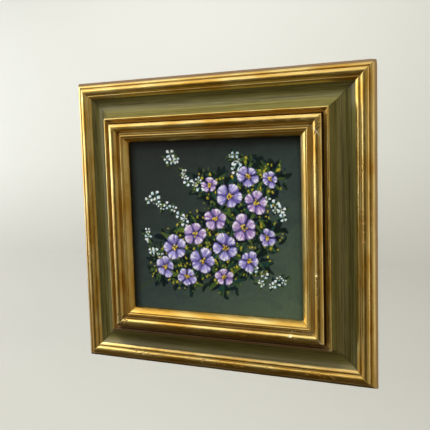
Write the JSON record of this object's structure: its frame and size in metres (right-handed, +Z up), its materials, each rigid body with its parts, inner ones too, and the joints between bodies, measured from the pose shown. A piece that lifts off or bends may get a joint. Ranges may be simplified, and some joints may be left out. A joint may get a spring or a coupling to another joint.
{
  "type": "framed oil painting",
  "caption": "Square oil painting on a panel in a mitred gilt and olive moulding frame, hung on a wall by a toothed hanger.",
  "frame": {"origin": "middle of the hanger's rear face, on the wall", "axes": "+X to the viewer's right along the top rail, +Y into the wall, +Z up"},
  "size_m": [0.34, 0.0409, 0.34],
  "materials": {
    "olive_and_gilt_wood": "olive lacquered scoop between gilt bands, satin",
    "gilt_wood": "metal leaf over red ground, burnished and toned",
    "painted_panel": "oil paint on a hard panel, varnished",
    "hanger_brass": "brass plated stamped strip",
    "point_steel": "bright steel"
  },
  "bodies": {
    "root": {"outer_rail_top": "olive_and_gilt_wood", "outer_rail_right": "olive_and_gilt_wood", "outer_rail_bottom": "olive_and_gilt_wood", "outer_rail_left": "olive_and_gilt_wood", "inner_rail_top": "gilt_wood", "inner_rail_right": "gilt_wood", "inner_rail_bottom": "gilt_wood", "inner_rail_left": "gilt_wood", "painted_panel": "painted_panel", "framing_point_top_1": "point_steel", "framing_point_top_2": "point_steel", "framing_point_right_1": "point_steel", "framing_point_right_2": "point_steel", "framing_point_bottom_1": "point_steel", "framing_point_bottom_2": "point_steel", "framing_point_left_1": "point_steel", "framing_point_left_2": "point_steel", "hanger": "hanger_brass", "hanger_pin_1": "hanger_brass", "hanger_pin_2": "hanger_brass"}
  },
  "joints": []
}
